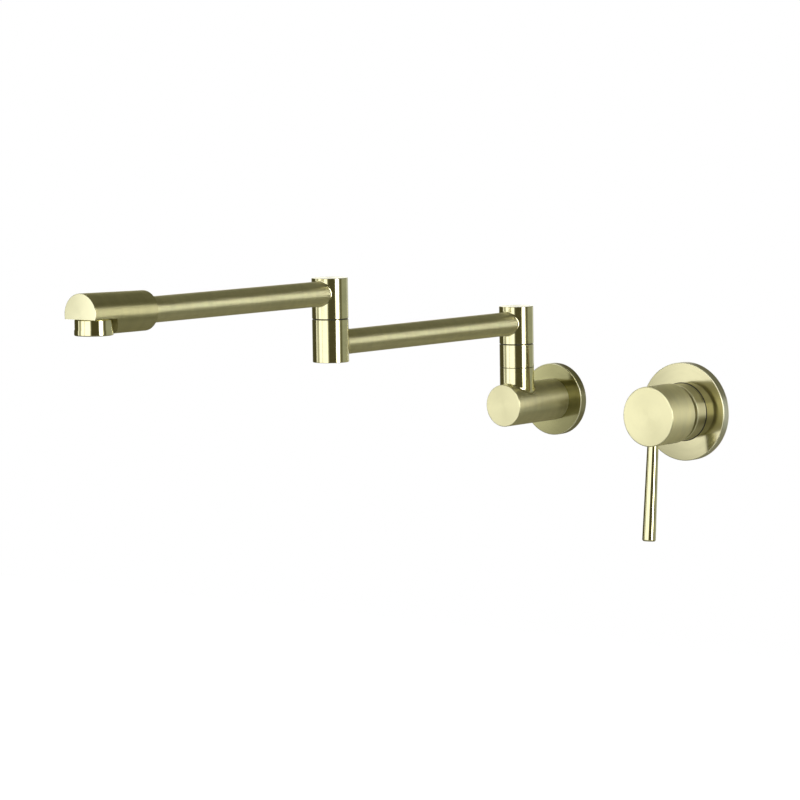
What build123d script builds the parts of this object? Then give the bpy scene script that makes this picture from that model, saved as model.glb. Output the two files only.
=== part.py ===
from build123d import *
from math import cos, radians, sin
import os

# Wall mounted pot filler: a folding spout with two arms, and beside it the single-lever
# mixer that feeds it through pipes in the wall.
# Millimetres. The origin is the centre of the spout's wall flange, on the wall's surface.
# +X runs right along the wall, +Y goes into the wall and +Z is up. "Out" means away from
# the wall, along -Y. The arms rest straight out, and the lever hangs down, shut.

# ---------------------------------------------------------------- fits shared by all pieces
running = 0.05            # radial clearance of a turning fit
slip = 0.03               # radial clearance of pieces that are pushed or screwed together
gap = 0.05                # space between flat faces that slide on each other

# ---------------------------------------------------------------- spout unit: wall side
flange_diameter = 59.6
flange_depth = 7.0
cup_wall = 2.0            # rim thickness of both wall covers
cup_face = 2.2            # front thickness of both wall covers
cover_edge = 0.7          # rounding of the front edge of both wall covers
seal_width = 2.0          # foam seals behind the wall covers
seal_depth = 3.0
cover_ring_section = 1.8  # O-rings that centre both wall covers
body_diameter = 34.3
body_reach = 74.7         # wall to the body's front face
body_back = 1.0           # wall to the body's back face, inside the flange
body_edge = 0.6           # rounding of the body's front edge
inlet_thread_diameter = 20.955   # G 1/2 male thread
inlet_length = 14.0       # how far the thread goes into the wall
waterway_diameter = 12.0
strainer_depth = 3.0
strainer_hole_diameter = 2.2
strainer_hole_ring = 3.6

# ---------------------------------------------------------------- posts and swivels
post_diameter = 28.0
post_setback = 19.3       # body's front face to the base post's axis
post_edge = 0.3           # chamfers at the joint lines of both posts
stub_height = 30.6        # body's axis to the top of its riser
collar_height = 18.9
arm_1_rise = 17.3         # collar's top to the axis of arm 1
base_housing_height = 30.7
elbow_housing_height = 31.3
arm_1_length = 238.5      # between the axes of the two posts
elbow_drop = 14.3         # axis of arm 1 to the bottom of the elbow post
elbow_rise = 18.8         # axis of arm 1 to the elbow's joint
arm_2_rise = 20.0         # elbow's joint to the axis of arm 2
joint_gap = 0.5           # between the fixed and the turning part of a post
tube_diameter = 19.3
tube_wall = 1.5
socket_stop = 9.8         # post's axis to the end of the arm's tube

journal_diameter = 16.0   # spindle, where the housing turns on it
spindle_bore = 10.0
clamp_diameter = 21.6     # spindle's clamping flange
clamp_thickness = 3.0
base_thread_length = 26.5 # spindle's thread under its clamping flange
elbow_thread_length = 9.0
port_half_height = 4.0    # half the height of the water groove round the spindle
port_groove_depth = 1.2
cross_port_diameter = 6.5
elbow_port_diameter = 10.0       # elbow's side port for arm 1
elbow_port_depth = 7.0    # arm 1's axis to the floor of the elbow's upright bore
arm_port_diameter = 8.4   # housing wall, between the water groove and the arm
ring_section = 1.5        # O-rings on the spindles
ring_play = 0.1           # their groove is wider than they are by this
lower_ring_spacing = 4.0
washer_inset = 0.6        # bearing washer, back from the post's outside
shoulder_depth = 4.5      # housing's top to the shoulder that carries the thrust washer
cavity_diameter = 17.8    # room round the thrust washer and the clip
neck_diameter = 10.0
thrust_washer_thickness = 0.8
clip_thickness = 0.9
clip_groove_depth = 0.5
clip_width = 3.4
clip_opening = 60.0       # degrees
cap_diameter = 22.8
cap_thickness = 1.5

# ---------------------------------------------------------------- spout head and aerator
head_back_diameter = 29.4
head_front_diameter = 30.6
head_tilt = 0.8           # degrees, up towards the front
head_length = 67.0
head_reach = 278.0        # elbow's axis to the head's front face
head_edge = 0.5
head_socket_depth = 14.0
head_waterway_diameter = 5.8     # drilled high, to come out over the aerator
head_waterway_sill = 0.3  # aerator's gasket to the waterway
flat_drop = 2.5           # arm's axis to the flat that carries the aerator
relief_diameter = 34.6    # cutter that clears the room round the aerator
aerator_setback = 14.0    # head's front face to the aerator's axis
aerator_diameter = 27.4
aerator_height = 12.0
aerator_foot_diameter = 28.2     # flared ring at its outlet
aerator_foot_height = 3.6
aerator_edge = 0.9
aerator_thread_diameter = 23.8   # M24x1
aerator_thread_length = 4.0
aerator_wall = 1.7
aerator_lip = 0.7         # inward lip at the outlet that holds the insert
aerator_lip_height = 1.0
gasket_thickness = 0.5
chamber_diameter = 18.0
chamber_height = 8.5      # over the aerator's gasket
insert_height = 10.0
insert_cell = 2.6         # across the flats of a honeycomb cell
insert_web = 0.6
screen_thickness = 0.6
screen_hole = 1.4
screen_pitch = 2.6

# ---------------------------------------------------------------- mixer: wall side
mixer_x = 131.0
mixer_z = -4.1
plate_diameter = 79.8
plate_depth = 7.4
sleeve_diameter = 46.4
sleeve_wall = 2.4
sleeve_back = 2.0         # how far it reaches behind the wall's surface
sleeve_front = 19.5       # wall to its front edge
sleeve_edge = 0.6

# ---------------------------------------------------------------- mixer: concealed valve
valve_diameter = 48.0
valve_depth = 40.0        # wall to the valve's back
valve_shoulder = 6.0      # wall to the front of the thick part
valve_neck_front = 18.0   # wall to the end of the neck, in the room
neck_thread_diameter = 38.0
neck_thread_back = 4.0
chamber_bore = 35.0       # takes a 35 mm cartridge
chamber_floor = 4.0       # behind the wall's surface
port_depth = 24.0         # wall to the axis of the pipe ports
port_reach = 38.0         # valve's axis to the mouth of a pipe port
port_boss_diameter = 27.0
pipe_thread_diameter = 18.63     # G 1/2 female thread, over its crests
pipe_thread_length = 15.0
pipe_bore = 9.0
inlet_bore_start = 4.5    # valve's axis to the blind end of an inlet bore
outlet_bore_start = 5.5
way_diameter = 5.0        # three ways through the chamber's floor
inlet_way_x = 6.5
inlet_way_z = -4.5
outlet_way_z = 5.5
foot_length = 76.0
foot_width = 16.0
foot_thickness = 5.0
foot_drop = 26.0          # valve's axis to the foot's axis
foot_hole_diameter = 5.5
foot_hole_spacing = 60.0

# ---------------------------------------------------------------- mixer: cartridge
way_seal_width = 1.6
way_seal_thickness = 1.2
base_thickness = 5.0
cartridge_play = 0.1      # cartridge in its chamber
housing_wall = 2.4
fixed_disc_thickness = 3.0
disc_diameter = 23.6      # sliding disc and its carrier
sliding_disc_thickness = 3.5
mixing_pocket_depth = 1.5
mixing_pocket_width = 17.0
mixing_pocket_height = 9.0
mixing_pocket_rise = 3.0  # over the disc's centre: shut, it lies clear of both inlet ways
carrier_thickness = 5.25
rotor_play = 0.3          # carrier to rotor
rotor_flange_diameter = 29.2
rotor_flange_thickness = 2.7
rotor_diameter = 23.0
housing_shoulder = 20.0   # wall to the shoulder under the nut
housing_neck_diameter = 31.0
housing_front = 29.0      # wall to the front of the cartridge's housing
rotor_front = 31.0
rotor_slot_width = 8.6
rotor_slot_height = 15.0
pivot_distance = 27.0     # wall to the axis that the lever tilts on
pivot_pin_diameter = 4.0
pivot_pin_length = 22.0
stem_size = 8.0
stem_front = 51.0
stem_eye_diameter = 9.6
stem_root_diameter = 7.0
stem_tip_diameter = 3.6
ball_diameter = 4.8
ball_distance = 12.0      # wall to the ball's centre
ball_play = 0.2
ball_pocket_floor = 0.45  # carrier's thickness behind the ball's pocket
nut_diameter = 41.2
nut_back = 8.0
nut_front = 24.0
nut_edge = 0.5

# ---------------------------------------------------------------- mixer: handle
handle_diameter = 48.4
handle_back = 24.5        # wall to the handle's rear rim
handle_front = 56.5
handle_wall = 1.9
handle_floor = 44.0       # wall to the bottom of the handle's hollow
handle_edge = 0.6         # rounding of its rear edge
handle_round = 0.9        # rounding of its front edge
boss_diameter = 16.0
boss_back = 37.0
lever_distance = 47.7     # wall to the point where the lever's axis meets the handle's
lever_lean = 5.0          # degrees, out from the wall
lever_seat = 20.0         # handle's axis to the lever's shoulder
lever_stud_diameter = 6.0
lever_stud_end = 10.0
lever_root_diameter = 9.1
lever_tip_diameter = 11.0
lever_reach = 100.6       # handle's axis to the lever's end
lever_round = 1.6
grub_length = 5.0
grub_key = 2.5            # across the flats of its socket
grub_key_depth = 2.0

# ---------------------------------------------------------------- places worked out from them
post_offset = body_reach - post_setback
post_radius = post_diameter / 2
tube_radius = tube_diameter / 2
journal_radius = journal_diameter / 2
collar_top = stub_height + collar_height
arm_1_z = collar_top + arm_1_rise
elbow_seat = arm_1_z + elbow_rise
elbow_bottom = arm_1_z - elbow_drop
arm_2_z = elbow_seat + arm_2_rise
elbow_y = -post_offset - arm_1_length
head_front_y = elbow_y - head_reach
head_back_y = head_front_y + head_length
aerator_y = head_front_y + aerator_setback
flat_z = arm_2_z - flat_drop
aerator_bottom = flat_z - aerator_height
aerator_top = flat_z + aerator_thread_length
head_waterway_low = aerator_top + gasket_thickness + head_waterway_sill
head_waterway_z = head_waterway_low + head_waterway_diameter / 2

inlet_axis = Plane(origin=(0, 0, 0), x_dir=(1, 0, 0), z_dir=(0, 0, -1))
mixer_axis = Plane(origin=(mixer_x, 0, mixer_z), x_dir=(1, 0, 0), z_dir=(0, 0, -1))
base_axis = Plane(origin=(0, -post_offset, 0), x_dir=(1, 0, 0), z_dir=(0, -1, 0))
elbow_axis = Plane(origin=(0, elbow_y, 0), x_dir=(1, 0, 0), z_dir=(0, -1, 0))
aerator_axis = Plane(origin=(0, aerator_y, 0), x_dir=(1, 0, 0), z_dir=(0, -1, 0))
tilt = radians(head_tilt)
head_axis = Plane(origin=(0, head_back_y, arm_2_z), x_dir=(1, 0, 0),
                  z_dir=(0, -sin(tilt), -cos(tilt)))
lean = radians(lever_lean)
lever_axis = Plane(origin=(mixer_x, -lever_distance, mixer_z), x_dir=(1, 0, 0),
                   z_dir=(0, cos(lean), -sin(lean)))


def out_plane(distance, centre_x=0.0, centre_z=0.0):
    """A plane parallel to the wall, that far out, with its normal pointing out."""
    return Plane(origin=(centre_x, -distance, centre_z), x_dir=(1, 0, 0), z_dir=(0, -1, 0))


def mixer_plane(distance):
    """The same, centred on the mixer's axis."""
    return out_plane(distance, mixer_x, mixer_z)


def turned(plane, outline, rounded=()):
    """A turned piece: (radius, place on the axis) points, spun about the plane's Y axis.

    "rounded" lists corners of the outline with the radius of their rounding.
    """
    with BuildPart() as piece:
        with BuildSketch(plane) as section:
            with BuildLine():
                Polyline(*outline, close=True)
            make_face()
            for corner, rounding in rounded:
                fillet(section.vertices().sort_by_distance(corner)[0], rounding)
        revolve(axis=Axis(plane.origin, plane.y_dir))
    return piece


def rings(plane, inner_radius, section, places):
    """Round-section rings on one axis."""
    centres = [(inner_radius + section / 2, place) for place in places]
    with BuildPart() as piece:
        with BuildSketch(plane):
            with Locations(*centres):
                Circle(section / 2)
        revolve(axis=Axis(plane.origin, plane.y_dir))
    return piece


def wall_cover(plane, diameter, depth, hole_radius):
    """A shallow cup whose rim stands on the wall, with a rounded front edge."""
    radius = diameter / 2
    return turned(plane, [
        (radius - cup_wall, 0),
        (radius, 0),
        (radius, depth),
        (hole_radius, depth),
        (hole_radius, depth - cup_face),
        (radius - cup_wall, depth - cup_face),
    ], rounded=[((radius, depth), cover_edge)])


def cover_seal(plane, diameter):
    """A flat foam ring inside a cover's rim."""
    radius = diameter / 2 - cup_wall
    return turned(plane, [
        (radius - seal_width, 0),
        (radius, 0),
        (radius, seal_depth),
        (radius - seal_width, seal_depth),
    ])


def seal_places(clamp_bottom, seat, top):
    """Heights of a spindle's O-rings: below its clamp, twice in the journal, and on top."""
    shoulder = top - shoulder_depth
    groove = ring_section + ring_play
    first = seat + joint_gap + groove
    return [clamp_bottom - groove, first, first + lower_ring_spacing, shoulder - groove]


def spindle(plane, thread_length, seat, port_z, top, seals):
    """Hollow spindle: screwed in below its flange, a journal with a water groove above it."""
    clamp_bottom = seat - clamp_thickness
    shoulder = top - shoulder_depth - gap
    neck_top = top - cap_thickness - slip
    groove_radius = journal_radius - port_groove_depth
    neck_radius = neck_diameter / 2
    clip_z = shoulder + 2 * gap + thrust_washer_thickness + clip_thickness / 2
    with BuildPart() as piece:
        with BuildSketch(plane):
            with BuildLine():
                Polyline(
                    (spindle_bore / 2, clamp_bottom - thread_length),
                    (journal_radius, clamp_bottom - thread_length),
                    (journal_radius, clamp_bottom),
                    (clamp_diameter / 2, clamp_bottom),
                    (clamp_diameter / 2, seat),
                    (journal_radius, seat),
                    (journal_radius, port_z - port_half_height),
                    (groove_radius, port_z - port_half_height),
                    (groove_radius, port_z + port_half_height),
                    (journal_radius, port_z + port_half_height),
                    (journal_radius, shoulder),
                    (neck_radius, shoulder),
                    (neck_radius, neck_top),
                    (0, neck_top),
                    (0, port_z + port_half_height),
                    (spindle_bore / 2, port_z + port_half_height),
                    close=True,
                )
            make_face()
            with Locations(*[(journal_radius, place) for place in seals]):
                Rectangle(2 * (ring_section + slip), ring_section + ring_play,
                          mode=Mode.SUBTRACT)
            with Locations((neck_radius, clip_z)):
                Rectangle(2 * clip_groove_depth, clip_thickness + gap, mode=Mode.SUBTRACT)
        revolve(axis=Axis(plane.origin, plane.y_dir))
        for side in ((1, 0, 0), (0, 1, 0)):
            with BuildSketch(Plane(origin=plane.origin + Vector(0, 0, port_z), z_dir=side)):
                Circle(cross_port_diameter / 2)
            extrude(amount=journal_radius, both=True, mode=Mode.SUBTRACT)
    return piece


def bearing_washer(plane, seat):
    """Flat plastic washer in the joint line."""
    return turned(plane, [
        (journal_radius + running, seat),
        (post_radius - washer_inset, seat),
        (post_radius - washer_inset, seat + joint_gap - gap),
        (journal_radius + running, seat + joint_gap - gap),
    ])


def thrust_washer(plane, top):
    """Washer that bears on the housing's shoulder, under the clip."""
    low = top - shoulder_depth + gap
    return turned(plane, [
        (neck_diameter / 2 + running, low),
        (cavity_diameter / 2 - 2 * running, low),
        (cavity_diameter / 2 - 2 * running, low + thrust_washer_thickness),
        (neck_diameter / 2 + running, low + thrust_washer_thickness),
    ])


def retaining_clip(plane, top):
    """Open ring that snaps into the spindle's top groove."""
    inner = neck_diameter / 2 - clip_groove_depth + slip
    low = top - shoulder_depth + gap + thrust_washer_thickness
    with BuildPart() as piece:
        with BuildSketch(Plane.XY.move(Location(plane.origin)).offset(low)):
            Circle(inner + clip_width)
            Circle(inner, mode=Mode.SUBTRACT)
            with BuildLine():
                edge = 2 * (inner + clip_width)
                reach = edge * sin(radians(clip_opening / 2))
                Polyline((0, 0), (reach, edge), (-reach, edge), close=True)
            make_face(mode=Mode.SUBTRACT)
        extrude(amount=clip_thickness)
    return piece


def top_cap(plane, top):
    """Disc that closes a housing, flush with its top."""
    radius = cap_diameter / 2
    low = top - cap_thickness
    return turned(plane, [
        (0, low),
        (radius, low),
        (radius, top - post_edge),
        (radius - post_edge, top),
        (0, top),
    ])


def turning_housing(plane, seat, port_z, top):
    """Post section that turns on the spindle and holds an arm's tube in its front."""
    bottom = seat + joint_gap
    shoulder = top - shoulder_depth
    bore = journal_radius + running
    with BuildPart() as piece:
        with BuildSketch(plane):
            with BuildLine():
                Polyline(
                    (bore, bottom),
                    (post_radius - post_edge, bottom),
                    (post_radius, bottom + post_edge),
                    (post_radius, top - post_edge),
                    (post_radius - post_edge, top),
                    (cap_diameter / 2 + slip, top),
                    (cap_diameter / 2 + slip, top - cap_thickness),
                    (cavity_diameter / 2, top - cap_thickness),
                    (cavity_diameter / 2, shoulder),
                    (bore, shoulder),
                    close=True,
                )
            make_face()
        revolve(axis=Axis(plane.origin, plane.y_dir))
        with BuildSketch(out_plane(-plane.origin.Y + socket_stop, 0, port_z)):
            Circle(tube_radius + slip)
        extrude(amount=post_diameter, mode=Mode.SUBTRACT)
        with BuildSketch(out_plane(-plane.origin.Y, 0, port_z)):
            Circle(arm_port_diameter / 2)
        extrude(amount=post_diameter, mode=Mode.SUBTRACT)
    return piece


def arm_tube(start_y, end_y, height):
    """Straight tube along Y."""
    with BuildPart() as piece:
        with BuildSketch(out_plane(-start_y, 0, height)):
            Circle(tube_radius)
            Circle(tube_radius - tube_wall, mode=Mode.SUBTRACT)
        extrude(amount=start_y - end_y)
    return piece


# ---------------------------------------------------------------- spout unit: wall side
with BuildPart() as spout_body:
    with BuildSketch(out_plane(body_back)):
        Circle(body_diameter / 2)
    extrude(amount=body_reach - body_back)
    fillet(spout_body.faces().sort_by(Axis.Y)[0].edges(), body_edge)
    with BuildSketch(Plane(origin=(0, -post_offset, 0))):
        Circle(post_radius)
    extrude(amount=stub_height)
    chamfer(spout_body.faces().sort_by(Axis.Z)[-1].edges(), post_edge)
    with BuildSketch(out_plane(body_back)):
        Circle(inlet_thread_diameter / 2)
    extrude(amount=-(body_back + inlet_length))
    with BuildSketch(out_plane(-inlet_length)):
        Circle(waterway_diameter / 2)
    extrude(amount=inlet_length + post_offset, mode=Mode.SUBTRACT)
    with BuildSketch(Plane(origin=(0, -post_offset, 0))):
        Circle(waterway_diameter / 2)
    extrude(amount=stub_height, mode=Mode.SUBTRACT)
    with BuildSketch(Plane(origin=(0, -post_offset, stub_height))):
        Circle(journal_radius + slip)
    extrude(amount=collar_height - clamp_thickness - base_thread_length, mode=Mode.SUBTRACT)

body_hole_radius = body_diameter / 2 + slip
cover_ring_place = flange_depth - cup_face - cover_ring_section / 2
wall_flange = wall_cover(inlet_axis, flange_diameter, flange_depth, body_hole_radius)
flange_seal = cover_seal(inlet_axis, flange_diameter)
flange_o_ring = rings(inlet_axis, body_diameter / 2, cover_ring_section, [cover_ring_place])

with BuildPart() as inlet_strainer:
    with BuildSketch(out_plane(-inlet_length)):
        Circle(waterway_diameter / 2 - slip)
        with PolarLocations(strainer_hole_ring, 6):
            Circle(strainer_hole_diameter / 2, mode=Mode.SUBTRACT)
        Circle(strainer_hole_diameter / 2, mode=Mode.SUBTRACT)
    extrude(amount=strainer_depth)

# ---------------------------------------------------------------- base post
base_top = collar_top + joint_gap + base_housing_height
base_clamp = collar_top - clamp_thickness
base_seals = seal_places(base_clamp, collar_top, base_top)
base_seals.append(stub_height - 2 * ring_section)

swivel_collar = turned(base_axis, [
    (journal_radius + slip, stub_height),
    (post_radius - post_edge, stub_height),
    (post_radius, stub_height + post_edge),
    (post_radius, collar_top - post_edge),
    (post_radius - post_edge, collar_top),
    (clamp_diameter / 2 + slip, collar_top),
    (clamp_diameter / 2 + slip, base_clamp),
    (journal_radius + slip, base_clamp),
])
base_spindle = spindle(base_axis, base_thread_length, collar_top, arm_1_z, base_top,
                       base_seals)
base_o_rings = rings(base_axis, journal_radius - ring_section, ring_section, base_seals)
base_bearing_washer = bearing_washer(base_axis, collar_top)
base_thrust_washer = thrust_washer(base_axis, base_top)
base_clip = retaining_clip(base_axis, base_top)
base_housing = turning_housing(base_axis, collar_top, arm_1_z, base_top)
base_cap = top_cap(base_axis, base_top)

# ---------------------------------------------------------------- arm 1 and elbow post
arm_1_tube = arm_tube(-post_offset - socket_stop, elbow_y + socket_stop, arm_1_z)

elbow_top = elbow_seat + joint_gap + elbow_housing_height
elbow_clamp = elbow_seat - clamp_thickness
elbow_thread_low = elbow_clamp - elbow_thread_length
elbow_seals = seal_places(elbow_clamp, elbow_seat, elbow_top)

with BuildPart() as elbow_lower_housing:
    with BuildSketch(elbow_axis):
        with BuildLine():
            Polyline(
                (0, elbow_bottom),
                (post_radius - post_edge, elbow_bottom),
                (post_radius, elbow_bottom + post_edge),
                (post_radius, elbow_seat - post_edge),
                (post_radius - post_edge, elbow_seat),
                (clamp_diameter / 2 + slip, elbow_seat),
                (clamp_diameter / 2 + slip, elbow_clamp),
                (journal_radius + slip, elbow_clamp),
                (journal_radius + slip, elbow_thread_low),
                (waterway_diameter / 2, elbow_thread_low),
                (waterway_diameter / 2, arm_1_z - elbow_port_depth),
                (0, arm_1_z - elbow_port_depth),
                close=True,
            )
        make_face()
    revolve(axis=Axis(elbow_axis.origin, elbow_axis.y_dir))
    with BuildSketch(out_plane(-elbow_y - socket_stop, 0, arm_1_z)):
        Circle(tube_radius + slip)
    extrude(amount=-post_diameter, mode=Mode.SUBTRACT)
    with BuildSketch(out_plane(-elbow_y, 0, arm_1_z)):
        Circle(elbow_port_diameter / 2)
    extrude(amount=-post_diameter, mode=Mode.SUBTRACT)

elbow_spindle = spindle(elbow_axis, elbow_thread_length, elbow_seat, arm_2_z, elbow_top,
                        elbow_seals)
elbow_o_rings = rings(elbow_axis, journal_radius - ring_section, ring_section, elbow_seals)
elbow_bearing_washer = bearing_washer(elbow_axis, elbow_seat)
elbow_thrust_washer = thrust_washer(elbow_axis, elbow_top)
elbow_clip = retaining_clip(elbow_axis, elbow_top)
elbow_upper_housing = turning_housing(elbow_axis, elbow_seat, arm_2_z, elbow_top)
elbow_cap = top_cap(elbow_axis, elbow_top)

# ---------------------------------------------------------------- arm 2, head and aerator
tube_2_end = head_back_y - head_socket_depth
arm_2_tube = arm_tube(elbow_y - socket_stop, tube_2_end, arm_2_z)

head_blank = turned(head_axis, [
    (0, 0),
    (head_back_diameter / 2 - head_edge, 0),
    (head_back_diameter / 2, head_edge),
    (head_front_diameter / 2, head_length),
    (0, head_length),
], rounded=[((head_front_diameter / 2, head_length), head_edge)])
with BuildPart() as spout_head:
    add(head_blank.part)
    # A round cutter is fed in from the front, below the flat, as far as the aerator's axis.
    with BuildSketch(Plane(origin=(0, aerator_y, flat_z))):
        Circle(relief_diameter / 2)
        with Locations((0, -relief_diameter / 2)):
            Rectangle(relief_diameter, relief_diameter)
    extrude(amount=-head_front_diameter, mode=Mode.SUBTRACT)
    with BuildSketch(Plane(origin=(0, aerator_y, flat_z))):
        Circle(aerator_thread_diameter / 2 + slip)
    extrude(amount=aerator_thread_length + gasket_thickness, mode=Mode.SUBTRACT)
    with BuildSketch(Plane(origin=(0, aerator_y, aerator_top + gasket_thickness))):
        Circle(chamber_diameter / 2)
    extrude(amount=chamber_height, mode=Mode.SUBTRACT)
    with BuildSketch(out_plane(-head_back_y - head_edge, 0, arm_2_z)):
        Circle(tube_radius + slip)
    extrude(amount=head_socket_depth + head_edge, mode=Mode.SUBTRACT)
    with BuildSketch(out_plane(-head_back_y, 0, head_waterway_z)):
        Circle(head_waterway_diameter / 2)
    extrude(amount=head_back_y - aerator_y, mode=Mode.SUBTRACT)

aerator_bore = aerator_thread_diameter / 2 - aerator_wall
aerator_housing = turned(aerator_axis, [
    (aerator_bore, aerator_top),
    (aerator_thread_diameter / 2, aerator_top),
    (aerator_thread_diameter / 2, flat_z),
    (aerator_diameter / 2 - aerator_edge, flat_z),
    (aerator_diameter / 2, flat_z - aerator_edge),
    (aerator_diameter / 2, aerator_bottom + aerator_foot_height + aerator_edge),
    (aerator_foot_diameter / 2, aerator_bottom + aerator_foot_height),
    (aerator_foot_diameter / 2, aerator_bottom),
    (aerator_bore - aerator_lip, aerator_bottom),
    (aerator_bore - aerator_lip, aerator_bottom + aerator_lip_height),
    (aerator_bore, aerator_bottom + aerator_lip_height),
], rounded=[((aerator_foot_diameter / 2, aerator_bottom), aerator_edge)])
aerator_gasket = turned(aerator_axis, [
    (chamber_diameter / 2, aerator_top),
    (aerator_thread_diameter / 2, aerator_top),
    (aerator_thread_diameter / 2, aerator_top + gasket_thickness),
    (chamber_diameter / 2, aerator_top + gasket_thickness),
])
insert_low = aerator_bottom + aerator_lip_height
with BuildPart() as aerator_insert:
    with BuildSketch(Plane(origin=(0, aerator_y, insert_low))):
        Circle(aerator_bore - slip)
        with HexLocations((insert_cell + insert_web) / 2, 5, 5):
            RegularPolygon(insert_cell / 2, 6, major_radius=False, mode=Mode.SUBTRACT)
    extrude(amount=insert_height)
with BuildPart() as aerator_screen:
    with BuildSketch(Plane(origin=(0, aerator_y, insert_low + insert_height))):
        Circle(aerator_bore - slip)
        with GridLocations(screen_pitch, screen_pitch, 5, 5):
            Rectangle(screen_hole, screen_hole, mode=Mode.SUBTRACT)
    extrude(amount=screen_thickness)

# ---------------------------------------------------------------- mixer: wall side
sleeve_radius = sleeve_diameter / 2
sleeve_bore = sleeve_radius - sleeve_wall
cover_plate = wall_cover(mixer_axis, plate_diameter, plate_depth, sleeve_radius + slip)
plate_seal = cover_seal(mixer_axis, plate_diameter)
mixer_sleeve = turned(mixer_axis, [
    (sleeve_bore, -sleeve_back),
    (sleeve_radius - sleeve_edge, -sleeve_back),
    (sleeve_radius, sleeve_edge - sleeve_back),
    (sleeve_radius, sleeve_front),
    (sleeve_bore, sleeve_front),
], rounded=[((sleeve_radius, sleeve_front), sleeve_edge)])
plate_o_ring = rings(mixer_axis, sleeve_radius, cover_ring_section,
                     [plate_depth - cup_face - cover_ring_section / 2])

# ---------------------------------------------------------------- mixer: concealed valve
chamber_radius = chamber_bore / 2
ways = [(-inlet_way_x, inlet_way_z), (inlet_way_x, inlet_way_z), (0, outlet_way_z)]
ports = [
    (Plane(origin=(mixer_x, port_depth, mixer_z), z_dir=(-1, 0, 0)), inlet_bore_start),
    (Plane(origin=(mixer_x, port_depth, mixer_z), z_dir=(1, 0, 0)), inlet_bore_start),
    (Plane(origin=(mixer_x, port_depth, mixer_z), z_dir=(0, 0, 1)), outlet_bore_start),
]
with BuildPart() as valve_body:
    with BuildSketch(mixer_axis):
        with BuildLine():
            Polyline(
                (0, -valve_depth),
                (valve_diameter / 2, -valve_depth),
                (valve_diameter / 2, -valve_shoulder),
                (sleeve_bore - slip, -valve_shoulder),
                (sleeve_bore - slip, neck_thread_back),
                (neck_thread_diameter / 2, neck_thread_back),
                (neck_thread_diameter / 2, valve_neck_front),
                (chamber_radius, valve_neck_front),
                (chamber_radius, -chamber_floor),
                (0, -chamber_floor),
                close=True,
            )
        make_face()
    revolve(axis=Axis(mixer_axis.origin, mixer_axis.y_dir))
    for port, _ in ports:
        with BuildSketch(port.offset(chamber_floor)):
            Circle(port_boss_diameter / 2)
        extrude(amount=port_reach - chamber_floor)
    with BuildSketch(mixer_plane(-valve_depth)):
        with Locations((0, -foot_drop)):
            SlotOverall(foot_length, foot_width)
            with GridLocations(foot_hole_spacing, 0, 2, 1):
                Circle(foot_hole_diameter / 2, mode=Mode.SUBTRACT)
    extrude(amount=foot_thickness)
    for port, bore_start in ports:
        with BuildSketch(port.offset(bore_start)):
            Circle(pipe_bore / 2)
        extrude(amount=port_reach - bore_start, mode=Mode.SUBTRACT)
        with BuildSketch(port.offset(port_reach)):
            Circle(pipe_thread_diameter / 2)
        extrude(amount=-pipe_thread_length, mode=Mode.SUBTRACT)
    with BuildSketch(mixer_plane(-chamber_floor)):
        with Locations(*ways):
            Circle(way_diameter / 2)
    extrude(amount=-(port_depth - chamber_floor), mode=Mode.SUBTRACT)

# ---------------------------------------------------------------- mixer: cartridge
cartridge_radius = chamber_radius - cartridge_play
base_low = way_seal_thickness - chamber_floor
base_high = base_low + base_thickness
fixed_disc_high = base_high + fixed_disc_thickness
sliding_disc_low = fixed_disc_high + gap
sliding_disc_high = sliding_disc_low + sliding_disc_thickness
carrier_high = sliding_disc_high + carrier_thickness
rotor_low = carrier_high + rotor_play
rotor_flange_high = rotor_low + rotor_flange_thickness
housing_bore = cartridge_radius - housing_wall
pivot = Plane(origin=(mixer_x, -pivot_distance, mixer_z), z_dir=(1, 0, 0))

with BuildPart() as way_seals:
    with BuildSketch(mixer_plane(-chamber_floor)):
        with Locations(*ways):
            Circle(way_diameter / 2 + way_seal_width)
            Circle(way_diameter / 2, mode=Mode.SUBTRACT)
    extrude(amount=way_seal_thickness)

with BuildPart() as cartridge_base:
    with BuildSketch(mixer_plane(base_low)):
        Circle(cartridge_radius)
        with Locations(*ways):
            Circle(way_diameter / 2, mode=Mode.SUBTRACT)
    extrude(amount=base_thickness)

with BuildPart() as fixed_disc:
    with BuildSketch(mixer_plane(base_high)):
        Circle(housing_bore - slip)
        with Locations(*ways):
            Circle(way_diameter / 2, mode=Mode.SUBTRACT)
    extrude(amount=fixed_disc_thickness)

with BuildPart() as sliding_disc:
    with BuildSketch(mixer_plane(sliding_disc_low)):
        Circle(disc_diameter / 2)
    extrude(amount=sliding_disc_thickness)
    with BuildSketch(mixer_plane(sliding_disc_low)):
        with Locations((0, mixing_pocket_rise)):
            SlotOverall(mixing_pocket_width, mixing_pocket_height)
    extrude(amount=mixing_pocket_depth, mode=Mode.SUBTRACT)

with BuildPart() as disc_carrier:
    with BuildSketch(mixer_plane(sliding_disc_high)):
        Circle(disc_diameter / 2)
    extrude(amount=carrier_thickness)
    with BuildSketch(mixer_plane(sliding_disc_high + ball_pocket_floor)):
        Circle(ball_diameter / 2 + ball_play)
    extrude(amount=carrier_thickness, mode=Mode.SUBTRACT)

cartridge_housing = turned(mixer_axis, [
    (housing_bore, base_high),
    (cartridge_radius, base_high),
    (cartridge_radius, housing_shoulder),
    (housing_neck_diameter / 2, housing_shoulder),
    (housing_neck_diameter / 2, housing_front),
    (rotor_diameter / 2 + running, housing_front),
    (rotor_diameter / 2 + running, rotor_flange_high + gap),
    (housing_bore, rotor_flange_high + gap),
])

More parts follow.
